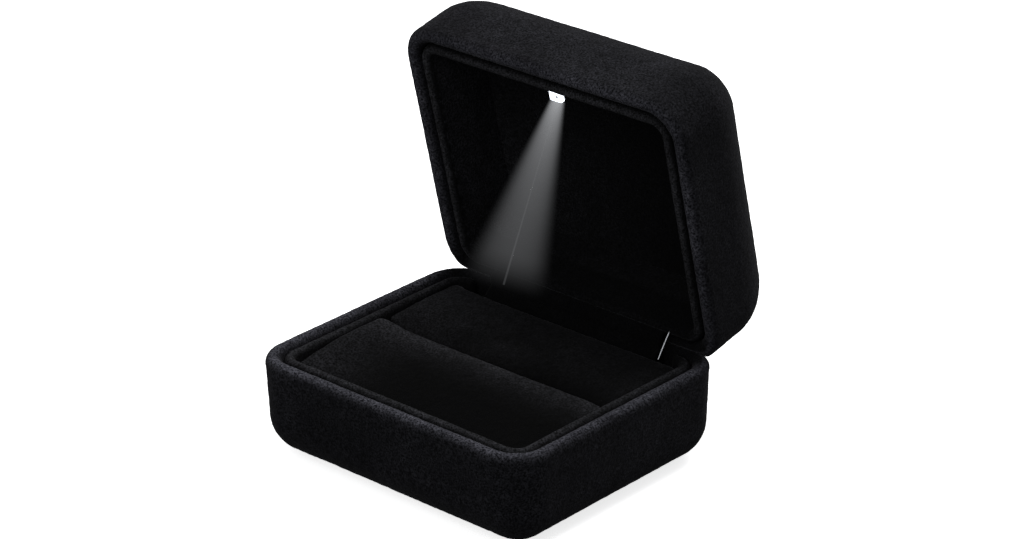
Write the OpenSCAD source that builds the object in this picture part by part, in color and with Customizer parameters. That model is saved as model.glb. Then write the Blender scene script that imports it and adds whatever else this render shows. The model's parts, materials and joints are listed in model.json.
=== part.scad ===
// Velvet ring box with a light in its lid, shown open.
// Front faces -Y, the hinge runs along X at the back, and the box stands on Z = 0.
// Each lid piece is drawn as it lies with the box closed, then swung open.

/* [Box] */
// Width across the front
box_w = 60; // [52:1:80]
// Depth from front to back
box_d = 50; // [44:1:70]
// Height of the closed box
box_h = 38; // [36:1:52]
// Height of the line where the lid meets the base
parting_h = 18; // [15:0.5:23]
// Radius of the upright corners
corner_r = 7; // [6:0.5:10]
// Radius of the base's bottom edge
base_edge_r = 6.5; // [3:0.5:8]
// Radius of the lid's top edge
lid_edge_r = 12; // [6:0.5:14]
// How much the base narrows on each side towards its bottom
base_draft = 0.7; // [0:0.1:1.5]
// Gap between the two rims with the box closed
parting_gap = 0.3; // [0.2:0.05:0.6]

/* [Materials] */
// Thickness of the outer velvet
velvet_t = 0.6; // [0.4:0.1:1]
// Wall of the moulded shells
shell_t = 1.5; // [1:0.1:2]
// Card under the base
sole_t = 0.6; // [0.4:0.1:1.2]
// Card of the collars and of the liner board
card_t = 1; // [0.6:0.1:1.5]
// Thin velvet on the collars, the liner and the pads
trim_t = 0.4; // [0.3:0.1:0.6]
// How far the outer velvet is turned in over each rim
turn_in = 3.5; // [2:0.5:5]

/* [Insert] */
// Gap between the turned-in velvet and the collar
groove_w = 0.5; // [0.3:0.1:1]
// How far a collar's edge lies inside the rim
collar_drop = 0.4; // [0.2:0.1:1]
// Middle of the ring slot, from the middle of the box
slot_y = 1.9; // [-4:0.1:6]
// Gap between the two pads at the foot of the slot
slot_gap = 0.6; // [0.4:0.1:2]
// Height of the front pad's edge at the slot, below the rim
slot_edge_drop = 0.9; // [0.5:0.1:3]
// How far the front pad falls from the slot to the front
front_pad_fall = 3.6; // [1:0.1:5]
// How far the rear pad's front edge lies below its back edge
rear_pad_fall = 2.2; // [0.5:0.1:4]
// Room for the hinge behind the rear pad
hinge_bay = 3.5; // [3:0.1:6]
// Room behind the lid's lining for the battery and the circuit board
bay_depth = 3.55; // [3.4:0.05:5]

/* [Hinge] */
// How far the lid opens
open_angle = 77.5; // [60:0.5:85]
// Hinge axis, in from the back face
hinge_inset = 2.25; // [2:0.05:2.6]
// Hinge axis, above the parting line
hinge_rise = 0.3; // [0.1:0.05:0.5]
// Gap between the bevelled back rims with the lid fully open
swing_gap = 0.3; // [0.2:0.05:0.6]
// Length of the hinge
hinge_len = 24; // [16:1:30]
// Outer radius of a knuckle
knuckle_r = 0.8; // [0.7:0.05:0.9]
// Radius of the hinge pin
pin_r = 0.35; // [0.3:0.05:0.4]
// Clearance of the pin in its knuckles
pin_gap = 0.05; // [0.03:0.01:0.08]
// Thickness of a hinge leaf
leaf_t = 0.4; // [0.3:0.05:0.5]
// Height of a hinge leaf
leaf_h = 6.8; // [5:0.1:7.5]
// Radius of a rivet's shank
rivet_r = 0.6; // [0.5:0.05:0.7]

/* [Light] */
// Width and height of the light's lens
led_w = 2.9; // [2:0.1:4]
// How far the lens stands out of the collar
led_out = 4.2; // [1:0.1:5]
// Depth of the lens inside the lid's rim
led_depth = 3.8; // [3:0.1:6]
// Diameter of a coin cell
cell_d = 12.5; // [11:0.5:13]
// Thickness of a coin cell
cell_t = 2; // [1.6:0.1:2.2]
// Thickness of the circuit board
board_t = 0.8; // [0.6:0.1:1]
// Diameter of an insulated lead
lead_d = 0.7; // [0.5:0.1:0.9]
// Diameter of the switch's spring wire
switch_d = 0.4; // [0.3:0.05:0.5]

/* [Hidden] */
$fn = 48;
corner_steps = 8;
eps = 0.02;
far = 4 * max(box_w, box_d, box_h);

// Insets from the outer face of the box, from the outside in
shell_out = velvet_t;
shell_in = shell_out + shell_t;
turn_in_face = shell_in + velvet_t;
collar_out = turn_in_face + groove_w;
card_out = collar_out + trim_t;
card_in = card_out + card_t;
collar_in = card_in + trim_t;

// Heights, with the box closed
base_top = parting_h - parting_gap / 2;
lid_bottom = parting_h + parting_gap / 2;
base_bottom = sole_t;
base_collar_top = base_top - collar_drop;
lid_collar_bottom = lid_bottom + collar_drop;
lid_inner_top = box_h - shell_in;
bay_floor = lid_inner_top - bay_depth;
board_bottom = bay_floor - card_t;
liner_face = board_bottom - trim_t;

hinge_y = box_d / 2 - hinge_inset;
hinge_z = parting_h + hinge_rise;
bevel = open_angle / 2;

// Hinge leaves, screwed flat against the inside of the back wall
leaf_gap = 0.4;
leaf_front = box_d / 2 - shell_in - leaf_gap - leaf_t;
knuckle_count = 5;
knuckle_gap = 0.2;
knuckle_pitch = (hinge_len + knuckle_gap) / knuckle_count;
leaf_end = knuckle_r + leaf_h;
rivet_xs = [-hinge_len * 0.36, hinge_len * 0.36];
rivet_up = leaf_end - 1.6;
rivet_head_r = 1.1;
rivet_head_t = 0.25;

// Light
led_y = -box_d / 2 + collar_out;
led_z = lid_bottom + led_depth;
lead_y = -box_d / 2 + (card_out + card_in) / 2;
lead_floor_z = bay_floor + lead_d / 2 + 0.1;
lead_board_z = bay_floor + board_t + lead_d / 2;
wire_bend_z = liner_face + 0.05;
lead_xs = [-lead_d * 1.1, lead_d * 1.1];

// Circuit board, at the hinge end of the lid beside the switch wire
circuit_size = [14, 15];
switch_x = box_w / 2 - 10.2;
circuit_x = switch_x - 5.5;
circuit_y = box_d / 2 - 17;
switch_bend_y = box_d / 2 - shell_in - 4.6;

// Battery holder, beside the board
holder_wall = 0.8;
holder_floor = 0.4;
cell_pitch = cell_d + 0.8;
holder_size = [cell_pitch + cell_d + 2 * holder_wall, cell_d + 2 * holder_wall];
holder_x = circuit_x - circuit_size[0] / 2 - 1.5 - holder_size[0] / 2;
holder_y = circuit_y - 2;

// ---------- shared forms ----------

// Rounded rectangle of the box's plan, set in by inset on every side
module plan(inset, r = 0) {
    rr = r > 0 ? r : max(corner_r - inset, 0.5);
    hx = box_w / 2 - inset - rr;
    hy = box_d / 2 - inset - rr;
    square([2 * hx, 2 * (hy + rr)], center = true);
    square([2 * (hx + rr), 2 * hy], center = true);
    for (sx = [-1, 1], sy = [-1, 1])
        translate([sx * hx, sy * hy]) circle(r = rr);
}

// Upright prism of that plan between two heights
module prism(inset, z0, z1) {
    translate([0, 0, z0]) linear_extrude(z1 - z0) plan(inset);
}

// Points once round a rounded rectangle that lies inset in from the box's sides
function ring(inset, r, z) = [
    for (k = [0 : 3], i = [0 : corner_steps])
        let(a = 90 * (k + i / corner_steps),
            side_x = k == 0 || k == 3 ? 1 : -1,
            side_y = k < 2 ? 1 : -1)
        [side_x * (box_w / 2 - inset - r) + r * cos(a), side_y * (box_d / 2 - inset - r) + r * sin(a), z]
];

// Closed solid through a stack of rings, from the lowest to the highest
module loft(rings) {
    n = len(rings[0]);
    top = len(rings) - 1;
    polyhedron(
        points = [for (ring = rings, p = ring) p],
        faces = concat(
            [[for (i = [0 : n - 1]) i]],
            [for (j = [0 : top - 1], i = [0 : n - 1]) [j * n + i, (j + 1) * n + i, (j + 1) * n + (i + 1) % n]],
            [for (j = [0 : top - 1], i = [0 : n - 1]) [j * n + i, (j + 1) * n + (i + 1) % n, j * n + (i + 1) % n]],
            [[for (i = [n - 1 : -1 : 0]) top * n + i]]
        )
    );
}

// How far the base's drafted wall lies inside its rim at a height
function draft_at(z) = base_draft * (base_top - z) / (base_top - base_bottom);

// The base's outer form, set in by off: drafted walls on a rounded bottom edge
module base_form(off, top) {
    edge = base_edge_r - off;
    low = base_bottom + off;
    loft(concat(
        [for (a = [0 : 15 : 90])
            let(z = low + edge * (1 - cos(a)), in = off + edge * (1 - sin(a)) + draft_at(z))
            ring(in, max(corner_r - in, 0.5), z)],
        [ring(off + draft_at(top), corner_r - off - draft_at(top), top)]
    ));
}

// The lid's outer form, set in by off: upright walls under a wide rounded top edge
module lid_form(off, bottom) {
    edge = lid_edge_r - off;
    loft(concat(
        [ring(off, corner_r - off, bottom)],
        [for (a = [90 : -15 : 0])
            let(run = edge * (1 - sin(a)))
            ring(off + run, (corner_r - off) * (1 - 0.65 * run / edge), box_h - off - edge * (1 - cos(a)))]
    ));
}

// Swings lid pieces from closed to open about the hinge axis
module opened() {
    translate([0, hinge_y, hinge_z]) rotate([-open_angle, 0, 0])
        translate([0, -hinge_y, -hinge_z]) children();
}

// Takes the bevel off a back rim so that the lid can swing: side is -1 on the base, 1 on the lid
module back_bevel(side) {
    translate([0, hinge_y, hinge_z]) rotate([side * bevel, 0, 0])
        translate([-far / 2, -hinge_inset / 4, side < 0 ? -swing_gap / 2 : swing_gap / 2 - far])
            cube([far, far, far]);
}

// Room for the knuckles and the leaves in the rims
module hinge_pocket(side) {
    wide = hinge_len + 0.6;
    translate([-wide / 2, hinge_y, hinge_z]) rotate([0, 90, 0]) cylinder(r = knuckle_r + 0.3, h = wide);
    translate([-wide / 2, leaf_front - 0.8, side < 0 ? base_top - turn_in - 1 : hinge_z])
        cube([wide, box_d / 2 - shell_in - leaf_front + 0.8 + eps, turn_in + 1.5]);
}

// Rivet shanks through a leaf and the shell's back wall
module rivet_shanks(r, side) {
    for (x = rivet_xs)
        translate([x, leaf_front - rivet_head_t, hinge_z + side * rivet_up]) rotate([-90, 0, 0])
            cylinder(r = r, h = box_d / 2 - velvet_t - base_draft / 2 - leaf_front + rivet_head_t, $fn = 24);
}

module rivets(side) {
    rivet_shanks(rivet_r, side);
    for (x = rivet_xs)
        translate([x, leaf_front - rivet_head_t, hinge_z + side * rivet_up]) rotate([-90, 0, 0])
            cylinder(r = rivet_head_r, h = rivet_head_t, $fn = 24);
}

// A hinge leaf with every other knuckle: side is -1 on the base, 1 on the lid
module leaf(side) {
    first = side < 0 ? 0 : 1;
    difference() {
        union() {
            translate([-hinge_len / 2, leaf_front, side < 0 ? hinge_z - leaf_end : hinge_z + knuckle_r + 0.2])
                cube([hinge_len, leaf_t, leaf_end - knuckle_r - 0.2]);
            for (i = [first : 2 : knuckle_count - 1])
                translate([-hinge_len / 2 + i * knuckle_pitch, 0, 0]) {
                    translate([0, hinge_y, hinge_z]) rotate([0, 90, 0])
                        cylinder(r = knuckle_r, h = knuckle_pitch - knuckle_gap);
                    translate([0, leaf_front, side < 0 ? hinge_z - knuckle_r - 0.4 : hinge_z])
                        cube([knuckle_pitch - knuckle_gap, leaf_t, knuckle_r + 0.4]);
                }
        }
        translate([-hinge_len / 2 - 1, hinge_y, hinge_z]) rotate([0, 90, 0])
            cylinder(r = pin_r + pin_gap, h = hinge_len + 2);
        rivet_shanks(rivet_r + 0.03, side);
    }
}

// Round wire through a list of points, with a ball a little thicker than the wire at each bend
module wire(points, d) {
    ball_d = 1.1 * d;
    for (i = [0 : len(points) - 2]) {
        run = points[i + 1] - points[i];
        flat = norm([run[0], run[1]]);
        translate(points[i]) rotate([0, atan2(flat, run[2]), atan2(run[1], run[0])])
            cylinder(d = d, h = norm(run), $fn = 16);
        translate(points[i]) sphere(d = ball_d, $fn = 16);
    }
    translate(points[len(points) - 1]) sphere(d = ball_d, $fn = 16);
}

// ---------- base ----------

module base_cover() {
    color([0.05, 0.05, 0.06]) difference() {
        union() {
            difference() {
                base_form(0, base_top);
                base_form(shell_out, base_top - velvet_t);
                prism(turn_in_face, base_top - velvet_t - eps, base_top + 1);
            }
            intersection() {
                difference() {
                    base_form(shell_in, base_top - velvet_t + eps);
                    base_form(turn_in_face, base_top);
                }
                prism(0, base_top - turn_in, base_top);
            }
        }
        prism(sole_inset, -1, base_bottom + velvet_t + eps);
        back_bevel(-1);
        hinge_pocket(-1);
    }
}

// The sole covers the opening that the outer velvet leaves under the base
sole_inset = base_edge_r + base_draft + 0.2;

module base_shell() {
    color([0.12, 0.12, 0.13]) difference() {
        base_form(shell_out, base_top - velvet_t);
        base_form(shell_in, base_top);
        translate([0, 0, -velvet_t]) back_bevel(-1);
        translate([-hinge_len / 2 - 0.3, hinge_y, hinge_z]) rotate([0, 90, 0])
            cylinder(r = knuckle_r + 0.3, h = hinge_len + 0.6);
        rivet_shanks(rivet_r + 0.03, -1);
    }
}

module base_sole() {
    color([0.08, 0.08, 0.08]) prism(sole_inset, 0, base_bottom + velvet_t);
}

// Room left behind the collars for the hinge, between their two side arms
module hinge_bay_cut(z0, z1) {
    translate([-box_w / 2 + collar_in, 0, z0]) cube([box_w - 2 * collar_in, far, z1 - z0]);
}

module base_collar() {
    color([0.75, 0.72, 0.66]) intersection() {
        difference() {
            prism(card_out, base_bottom, base_collar_top - trim_t);
            prism(card_in, 0, far);
            hinge_bay_cut(0, far);
        }
        base_form(shell_in, base_top);
    }
}

module base_collar_cover() {
    color([0.05, 0.05, 0.06]) intersection() {
        difference() {
            prism(collar_out, base_bottom, base_collar_top);
            difference() {
                prism(card_out, 0, base_collar_top - trim_t);
                prism(card_in, 0, far);
            }
            prism(collar_in, 0, far);
            hinge_bay_cut(0, far);
        }
        base_form(shell_in, base_top);
    }
}

// Side view of a pad, drawn in Y and Z; round gives the rounding of its edge at the slot
front_pad_back = slot_y - slot_gap / 2;
front_pad_front = -box_d / 2 + collar_in;
rear_pad_front = slot_y + slot_gap / 2;
rear_pad_back = box_d / 2 - shell_in - hinge_bay;
slot_edge_z = base_top - slot_edge_drop;
pad_foot = base_bottom + shell_in;

// Outline of the front pad set in by t: it falls from the slot edge to the front
module front_pad_outline(t) {
    high = slot_edge_z - t;
    low = slot_edge_z - front_pad_fall - t;
    round = 1.6;
    back = front_pad_back - t;
    front = front_pad_front + t;
    polygon(concat(
        [[front, pad_foot + t], [back, pad_foot + t], [back, high - round]],
        [for (a = [15 : 15 : 75]) [back - round * (1 - cos(a)), high - round * (1 - sin(a))]],
        [[back - round - 0.6, high], [back - 9, high - 0.25 * front_pad_fall],
         [front + 5, low + 0.25 * front_pad_fall], [front + 1.2, low], [front, low - 1]]
    ));
}

// Outline of the rear pad set in by t: it rises from the slot to its back edge
module rear_pad_outline(t) {
    high = slot_edge_z + 0.1 - t;
    low = high - rear_pad_fall;
    round = 1.1;
    back = rear_pad_back - t;
    front = rear_pad_front + t;
    polygon(concat(
        [[back, pad_foot + t], [front, pad_foot + t], [front, low - 1.5], [front + 1.1, low - 0.3]],
        [[front + 3.5, low + 0.55 * rear_pad_fall], [front + 9, high - 0.1], [back - round - 2, high]],
        [for (a = [75 : -15 : 15]) [back - round * (1 - cos(a)), high - round * (1 - sin(a))]],
        [[back, high - round]]
    ));
}

// Runs a pad's outline across the box, inside the collar and on the shell's floor
module pad(inset) {
    intersection() {
        translate([box_w / 2, 0, 0]) rotate([90, 0, -90]) mirror([1, 0, 0])
            linear_extrude(box_w) children();
        prism(collar_in + inset, 0, far);
        base_form(shell_in + inset, base_top);
    }
}

pad_side_gap = 0.1;

module front_pad_foam() {
    color([0.25, 0.25, 0.27]) pad(pad_side_gap + trim_t) front_pad_outline(trim_t);
}

module front_pad_cover() {
    color([0.05, 0.05, 0.06]) difference() {
        pad(pad_side_gap) front_pad_outline(0);
        pad(pad_side_gap + trim_t) front_pad_outline(trim_t);
    }
}

module rear_pad_foam() {
    color([0.25, 0.25, 0.27]) pad(pad_side_gap + trim_t) rear_pad_outline(trim_t);
}

module rear_pad_cover() {
    color([0.05, 0.05, 0.06]) difference() {
        pad(pad_side_gap) rear_pad_outline(0);
        pad(pad_side_gap + trim_t) rear_pad_outline(trim_t);
    }
}

// ---------- hinge ----------

module hinge_base_leaf() {
    color([0.72, 0.73, 0.75]) leaf(-1);
}

module hinge_lid_leaf() {
    color([0.72, 0.73, 0.75]) opened() leaf(1);
}

module base_leaf_rivets() {
    color([0.8, 0.8, 0.8]) rivets(-1);
}

module lid_leaf_rivets() {
    color([0.8, 0.8, 0.8]) opened() rivets(1);
}

module hinge_pin() {
    color([0.8, 0.8, 0.8]) translate([-hinge_len / 2 - 0.2, hinge_y, hinge_z])
        rotate([0, 90, 0]) cylinder(r = pin_r, h = hinge_len + 0.4);
}

// Bowed strips that press on the lid's knuckles and snap the lid open or shut
module hinge_detent_springs() {
    strip = 0.25;
    foot = hinge_z - leaf_end + 2.4;
    tip = hinge_z - knuckle_r - 0.12;
    bow = 0.9;
    rise = tip - foot;
    outer = [for (i = [0 : 8]) [leaf_front - strip - bow * sin(i * 22.5), foot + rise * i / 8]];
    inner = [for (i = [8 : -1 : 0]) [leaf_front - bow * sin(i * 22.5), foot + rise * i / 8]];
    color([0.75, 0.76, 0.78]) for (i = [1 : 2 : knuckle_count - 1])
        translate([-hinge_len / 2 + (i + 0.5) * knuckle_pitch + 1.8 - knuckle_gap / 2, 0, 0])
            rotate([90, 0, -90]) mirror([1, 0, 0]) linear_extrude(3.6)
                union() {
                    polygon(concat(outer, inner));
                    translate([leaf_front - strip, foot - 2]) square([strip, 2 + eps]);
                }
}

// Velvet strip that closes the gap over the hinge, from the rear pad to the lid's collar
module hinge_flap() {
    flap_r = knuckle_r + 0.35;
    start = 177.5 - open_angle;
    end = 218;
    strip_w = 2 * (switch_x - 0.9);
    arc = [for (a = [start : (end - start) / 10 : end]) [cos(a), sin(a)]];
    tail = [rear_pad_back + 0.15, hinge_z - 3];
    outer = [for (p = arc) [hinge_y, hinge_z] + (flap_r + 0.3) * p];
    inner = [for (i = [10 : -1 : 0]) [hinge_y, hinge_z] + flap_r * arc[i]];
    color([0.04, 0.04, 0.05]) translate([strip_w / 2, 0, 0])
        rotate([90, 0, -90]) mirror([1, 0, 0]) linear_extrude(strip_w)
            polygon(concat(outer, [tail + [0, 0.2], tail + [0, -0.2]], inner));
}

// ---------- lid ----------

module lid_cover() {
    color([0.05, 0.05, 0.06]) opened() difference() {
        union() {
            difference() {
                lid_form(0, lid_bottom);
                lid_form(shell_out, lid_bottom + velvet_t);
                prism(turn_in_face, lid_bottom - 1, lid_bottom + velvet_t + eps);
            }
            difference() {
                prism(shell_in, lid_bottom + velvet_t - eps, lid_bottom + turn_in, $fn = 4 * corner_steps);
                prism(turn_in_face, 0, far);
            }
        }
        back_bevel(1);
        hinge_pocket(1);
    }
}

module lid_shell() {
    color([0.12, 0.12, 0.13]) opened() difference() {
        lid_form(shell_out, lid_bottom + velvet_t);
        lid_form(shell_in, lid_bottom);
        translate([0, 0, velvet_t]) back_bevel(1);
        translate([-hinge_len / 2 - 0.3, hinge_y, hinge_z]) rotate([0, 90, 0])
            cylinder(r = knuckle_r + 0.3, h = hinge_len + 0.6);
        rivet_shanks(rivet_r + 0.03, 1);
    }
}

// Opening in the front of the lid's collar for the lens
module led_window(gap) {
    translate([-led_w / 2 - gap, led_y - 1, led_z - gap])
        cube([led_w + 2 * gap, collar_in - collar_out + 2, led_w + 2 * gap]);
}

// Channels for the light's leads and for the switch wire, from a height up
module wire_channels(lead_from, switch_from) {
    wide = lead_xs[1] - lead_xs[0] + lead_d + 0.3;
    translate([-wide / 2, lead_y - card_t, lead_from]) cube([wide, card_t + 2.1, far]);
    translate([switch_x - 0.5, switch_bend_y - 0.5, switch_from])
        cube([1, box_d / 2 - shell_in - switch_bend_y + 0.5, far]);
}

module lid_collar() {
    color([0.75, 0.72, 0.66]) opened() intersection() {
        difference() {
            prism(card_out, lid_collar_bottom + trim_t, board_bottom);
            prism(card_in, 0, far);
            led_window(0.05);
            wire_channels(led_z, 0);
        }
        lid_form(shell_in, lid_bottom);
    }
}

module lid_collar_cover() {
    color([0.05, 0.05, 0.06]) opened() intersection() {
        difference() {
            prism(collar_out, lid_collar_bottom, board_bottom);
            difference() {
                prism(card_out, lid_collar_bottom + trim_t, far);
                prism(card_in, 0, far);
            }
            prism(collar_in, 0, far);
            led_window(0.05);
            wire_channels(liner_face, liner_face);
            translate([switch_x - 0.4, box_d / 2 - card_in, 0]) cube([0.8, card_t, lid_collar_bottom + 1]);
        }
        lid_form(shell_in, lid_bottom);
    }
}

module lid_liner() {
    color([0.04, 0.04, 0.05]) opened() prism(collar_in + 0.05, liner_face, board_bottom);
}

// How far the inside of the lid's rounded shell lies in from its wall at a height
shell_round = lid_edge_r - shell_in;
function round_in(z) = shell_round * (1 - sin(acos(1 - (lid_inner_top - z) / shell_round)));

module lid_liner_board() {
    low = shell_in + round_in(board_bottom) + 0.15;
    high = shell_in + round_in(bay_floor) + 0.15;
    color([0.75, 0.72, 0.66]) opened() difference() {
        loft([ring(low, corner_r - shell_in, board_bottom), ring(high, corner_r - shell_in, bay_floor)]);
        wire_channels(0, 0);
        board_screw_holes();
    }
}

// ---------- light ----------

module led_lens() {
    color([0.95, 0.97, 1]) opened() {
        translate([-led_w / 2, led_y, led_z])
            cube([led_w, collar_in - collar_out + led_out, led_w]);
    }
}

module led_holder() {
    wide = led_w + 2.4;
    color([0.9, 0.9, 0.88]) opened()
        translate([-wide / 2, led_y - 0.9, led_z + 0.1]) cube([wide, 0.9, led_w]);
}

// A lead climbs inside the collar's card, then crosses the bay to the circuit board
module led_lead(x, shift) {
    end_x = circuit_x - 3 + shift;
    edge_y = circuit_y - circuit_size[1] / 2;
    wire([
        [x, lead_y, led_z + led_w + lead_d / 2],
        [x, lead_y, wire_bend_z],
        [x, lead_y + 1.5, lead_floor_z],
        [x, lead_y + 5, lead_floor_z],
        [end_x, edge_y - 3, lead_floor_z],
        [end_x, edge_y - 0.4, lead_board_z],
        [end_x, edge_y + 2, lead_board_z]
    ], lead_d);
}

module led_lead_red() {
    color([0.75, 0.08, 0.06]) opened() led_lead(lead_xs[1], 2);
}

module led_lead_black() {
    color([0.08, 0.08, 0.08]) opened() led_lead(lead_xs[0], 0);
}

board_screw_places = [
    [circuit_x - circuit_size[0] / 2 + 1.6, circuit_y + circuit_size[1] / 2 - 1.6],
    [circuit_x + circuit_size[0] / 2 - 1.6, circuit_y - circuit_size[1] / 2 + 1.6]
];
screw_r = 0.6;

module board_screw_holes() {
    for (p = board_screw_places)
        translate([p[0], p[1], 0]) cylinder(r = screw_r + 0.05, h = far, $fn = 24);
}

module circuit_board() {
    color([0.1, 0.35, 0.18]) opened() difference() {
        translate([circuit_x - circuit_size[0] / 2, circuit_y - circuit_size[1] / 2, bay_floor])
            cube([circuit_size[0], circuit_size[1], board_t]);
        board_screw_holes();
    }
}

module board_screws() {
    color([0.8, 0.8, 0.8]) opened() for (p = board_screw_places)
        translate([p[0], p[1], bay_floor - card_t + 0.1]) {
            cylinder(r = screw_r, h = card_t + board_t, $fn = 24);
            translate([0, 0, card_t + board_t - 0.1]) cylinder(r = screw_r + 0.5, h = 0.5, $fn = 24);
        }
}

module resistor() {
    long = 4;
    color([0.85, 0.75, 0.55]) opened()
        translate([circuit_x - long / 2, circuit_y + 1, bay_floor + board_t + 0.75])
            rotate([0, 90, 0]) {
                cylinder(r = 0.75, h = long, $fn = 24);
                translate([0, 0, -1]) cylinder(r = 0.2, h = long + 2, $fn = 16);
            }
}

module battery_holder() {
    color([0.1, 0.1, 0.11]) opened() difference() {
        translate([holder_x - holder_size[0] / 2, holder_y - holder_size[1] / 2, bay_floor])
            cube([holder_size[0], holder_size[1], holder_floor + cell_t - 0.5]);
        for (s = [-1, 1])
            translate([holder_x + s * cell_pitch / 2, holder_y, bay_floor + holder_floor])
                cylinder(d = cell_d + 0.2, h = far);
    }
}

module coin_cells() {
    color([0.8, 0.8, 0.82]) opened() for (s = [-1, 1])
        translate([holder_x + s * cell_pitch / 2, holder_y, bay_floor + holder_floor]) {
            cylinder(d = cell_d, h = cell_t - 0.3);
            cylinder(d = cell_d - 2, h = cell_t);
        }
}

// Strips over the cells: one joins them, and one runs from a cell to the board
module battery_contacts() {
    strip_t = 0.3;
    top = bay_floor + holder_floor + cell_t;
    color([0.8, 0.65, 0.3]) opened() {
        translate([holder_x - cell_pitch / 2 - 2, holder_y - 1.5, top])
            cube([cell_pitch, 3, strip_t]);
        translate([holder_x + cell_pitch / 2 - 0.5, holder_y - 1.5, top])
            cube([circuit_x - holder_x - cell_pitch / 2 - circuit_size[0] / 2 + 3, 3, strip_t]);
        translate([circuit_x - circuit_size[0] / 2 + 2.2, holder_y - 1.5, bay_floor + board_t])
            cube([strip_t, 3, top - bay_floor - board_t + eps]);
    }
}

// The switch wire leaves the bay through the collar's card, and its tip lies behind the rear pad
switch_tip_y = rear_pad_back + 0.35;
switch_tip_z = base_top - 1.6;

// Where a point given on the closed lid lies once the lid is open
function on_open_lid(y, z) = [
    switch_x,
    hinge_y + (y - hinge_y) * cos(open_angle) + (z - hinge_z) * sin(open_angle),
    hinge_z - (y - hinge_y) * sin(open_angle) + (z - hinge_z) * cos(open_angle)
];

module switch_wire() {
    run_y = box_d / 2 - (card_out + card_in) / 2;
    board_z = bay_floor + board_t + switch_d / 2;
    color([0.82, 0.83, 0.85]) wire([
        on_open_lid(circuit_y + 3, board_z),
        on_open_lid(switch_bend_y, board_z),
        on_open_lid(run_y, wire_bend_z),
        on_open_lid(run_y, lid_collar_bottom),
        [switch_x, switch_tip_y, switch_tip_z]
    ], switch_d);
}

module switch_terminal() {
    color([0.8, 0.65, 0.3]) opened() difference() {
        translate([switch_x - 1, circuit_y + 3.4, bay_floor + board_t]) cube([2, 1.6, 1.3]);
        translate([switch_x, circuit_y + 3, bay_floor + board_t + switch_d / 2]) rotate([-90, 0, 0])
            cylinder(d = switch_d + 0.1, h = 3, $fn = 16);
    }
}

// ---------- the assembly ----------

base_cover();
base_shell();
base_sole();
base_collar();
base_collar_cover();
front_pad_foam();
front_pad_cover();
rear_pad_foam();
rear_pad_cover();
hinge_base_leaf();
base_leaf_rivets();
hinge_pin();
hinge_detent_springs();
hinge_flap();
lid_cover();
lid_shell();
lid_collar();
lid_collar_cover();
lid_liner();
lid_liner_board();
hinge_lid_leaf();
lid_leaf_rivets();
led_lens();
led_holder();
led_lead_red();
led_lead_black();
circuit_board();
resistor();
board_screws();
battery_holder();
coin_cells();
battery_contacts();
switch_wire();
switch_terminal();
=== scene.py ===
# %% [markdown]
# # A velvet ring box with a light in its lid
# The box is two moulded shells covered in flocked velvet, with velvet-covered collars, two soft
# pads that leave a slot for a ring, a sprung hinge and a small light that shines when the lid is up.
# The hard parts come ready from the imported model. What this file adds is everything soft, the
# finishes, the studio and the camera.

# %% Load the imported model
import json
import math

import bmesh
import bpy
import numpy as np
from mathutils import Matrix, Vector


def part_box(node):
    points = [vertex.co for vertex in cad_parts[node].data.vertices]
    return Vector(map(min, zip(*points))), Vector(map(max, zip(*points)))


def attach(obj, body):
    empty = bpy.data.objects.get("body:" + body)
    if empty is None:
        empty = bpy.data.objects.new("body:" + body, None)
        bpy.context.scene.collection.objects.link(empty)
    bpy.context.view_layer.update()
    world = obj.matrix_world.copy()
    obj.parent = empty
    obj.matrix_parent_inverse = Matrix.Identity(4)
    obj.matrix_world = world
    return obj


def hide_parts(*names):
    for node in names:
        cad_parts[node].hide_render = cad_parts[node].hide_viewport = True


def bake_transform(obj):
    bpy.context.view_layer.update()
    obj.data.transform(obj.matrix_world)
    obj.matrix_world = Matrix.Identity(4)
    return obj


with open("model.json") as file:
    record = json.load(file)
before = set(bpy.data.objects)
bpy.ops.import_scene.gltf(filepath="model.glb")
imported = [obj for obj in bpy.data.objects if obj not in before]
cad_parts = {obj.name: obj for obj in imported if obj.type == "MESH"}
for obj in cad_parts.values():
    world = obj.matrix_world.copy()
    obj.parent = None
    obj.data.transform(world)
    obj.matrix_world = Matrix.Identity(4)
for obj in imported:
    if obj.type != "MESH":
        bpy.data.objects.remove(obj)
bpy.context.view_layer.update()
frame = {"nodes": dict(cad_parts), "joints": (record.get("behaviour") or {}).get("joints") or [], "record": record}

MM = 0.001

# %% [markdown]
# ## The hinge
# The model rests with its lid open. A lid is much easier to draw shut, square to the axes, so each
# lid piece is worked out on the closed box and then turned about the hinge. The hinge's place and
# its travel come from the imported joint, so the new pieces land exactly on the hard ones.

# %% Turn lid pieces between shut and open
hinge = frame["joints"][0]
hinge_y, hinge_z = hinge["pos_m"][1], hinge["pos_m"][2]
open_angle = math.radians(hinge["range_deg"][1])


def turned(points, angle):
    """Points turned about the hinge line: y' = y cos - z sin and z' = y sin + z cos, measured from it."""
    y = points[..., 1] - hinge_y
    z = points[..., 2] - hinge_z
    c, s = math.cos(angle), math.sin(angle)
    return np.stack([points[..., 0], hinge_y + y * c - z * s, hinge_z + y * s + z * c], -1)


def node_points(name):
    """A CAD node's points as an array."""
    mesh = frame["nodes"][name].data
    flat = np.zeros(len(mesh.vertices) * 3)
    mesh.vertices.foreach_get("co", flat)
    return flat.reshape(-1, 3)


def shut_box(name):
    """Lowest and highest corner of a lid node with the lid shut."""
    points = turned(node_points(name), open_angle)
    return points.min(0), points.max(0)


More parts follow.
